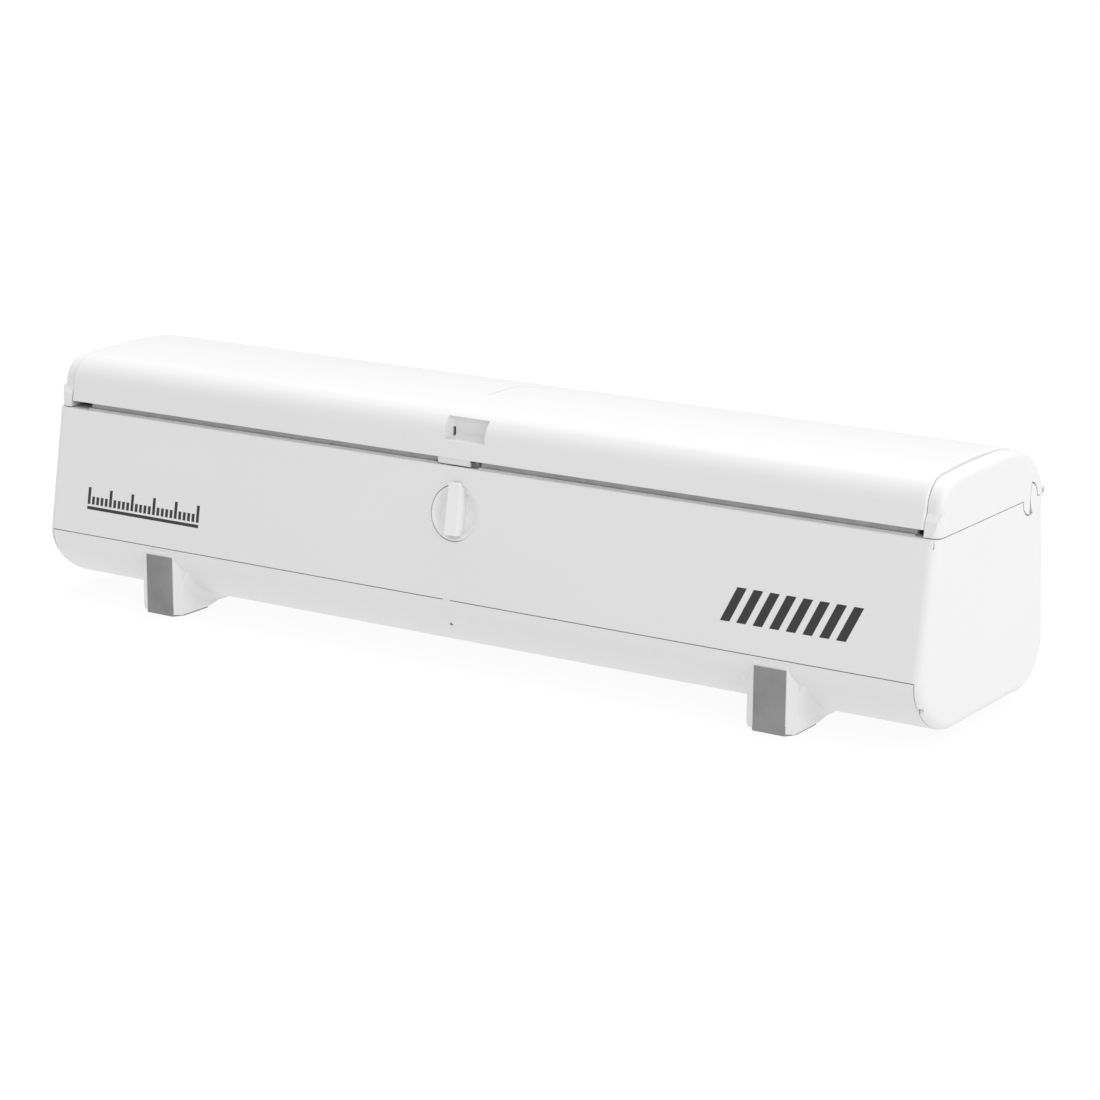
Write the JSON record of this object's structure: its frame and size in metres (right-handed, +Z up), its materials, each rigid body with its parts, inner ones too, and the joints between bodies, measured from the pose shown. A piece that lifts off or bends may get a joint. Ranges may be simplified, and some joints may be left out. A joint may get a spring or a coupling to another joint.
{
  "type": "cling film dispenser",
  "caption": "Long white countertop film dispenser with a hinged lid, a sprung press-to-cut cover, a turning lid lock and a roll of film inside.",
  "frame": {"origin": "on the ground under the middle of the dispenser", "axes": "+X along the roll to the right seen from the front, +Y to the rear, +Z up"},
  "size_m": [0.56, 0.1436, 0.1395],
  "materials": {
    "white_shell": "satin moulded ABS",
    "white_inner": "matt moulded ABS",
    "white_knob": "satin moulded ABS",
    "grey_rubber": "matt rubber",
    "white_silicone": "matt silicone",
    "blade_steel": "brushed",
    "bright_steel": "zinc plated",
    "spring_steel": "drawn wire",
    "grey_acetal": "matt acetal",
    "cling_film": "wound clear film",
    "core_board": "spiral wound board"
  },
  "bodies": {
    "base": {"bottom_tray": "white_shell", "end_panel_left": "white_shell", "end_panel_right": "white_shell", "foot_left": "white_shell", "foot_pad_left": "grey_rubber", "foot_pad_right": "grey_rubber", "foot_right": "white_shell", "foot_screws": "bright_steel", "front_panel": "white_shell", "grip_strip_left": "white_silicone", "grip_strip_right": "white_silicone", "hinge_pins": "bright_steel", "rear_pad_left": "grey_rubber", "rear_pad_right": "grey_rubber", "rear_panel": "white_shell", "roll_support_left": "white_inner", "roll_support_right": "white_inner", "support_screws": "bright_steel", "tray_screws": "bright_steel"},
    "lid": {"lid_frame": "white_inner", "lid_end_cap_right": "white_shell", "lid_end_cap_left": "white_shell", "cap_screws": "bright_steel", "latch_tongue": "white_inner", "tongue_screws": "bright_steel", "press_springs": "spring_steel"},
    "cover": {"press_cover": "white_shell", "cutter_blade": "blade_steel", "blade_holder_right": "white_inner", "blade_holder_left": "white_inner", "blade_screws": "bright_steel"},
    "knob_assembly": {"knob": "white_knob", "latch_cam": "grey_acetal", "cam_washer": "bright_steel", "cam_screw": "bright_steel"},
    "roll": {"film_roll": "cling_film", "core_tube": "core_board", "end_plug_right": "grey_acetal", "end_plug_left": "grey_acetal"}
  },
  "joints": [
    {"name": "lid_hinge", "type": "hinge", "parent": "base", "child": "lid", "pos_m": [0, 0.0628, 0.11], "axis": [-1, 0, 0], "range_deg": [0, 100]},
    {"name": "cover_press", "type": "hinge", "parent": "lid", "child": "cover", "pos_m": [0, 0.0628, 0.11], "axis": [1, 0, 0], "range_deg": [0, 1.2], "stiffness_Nm_per_rad": 20, "springref_deg": -1.15, "deforming": ["press_springs"]},
    {"name": "knob_turn", "type": "hinge", "parent": "base", "child": "knob_assembly", "pos_m": [0, -0.06331, 0.08452], "axis": [0, 0.9854, -0.1701], "range_deg": [0, 90]},
    {"name": "roll_spin", "type": "hinge", "parent": "base", "child": "roll", "pos_m": [0, 0.002, 0.058], "axis": [1, 0, 0], "continuous": true}
  ]
}
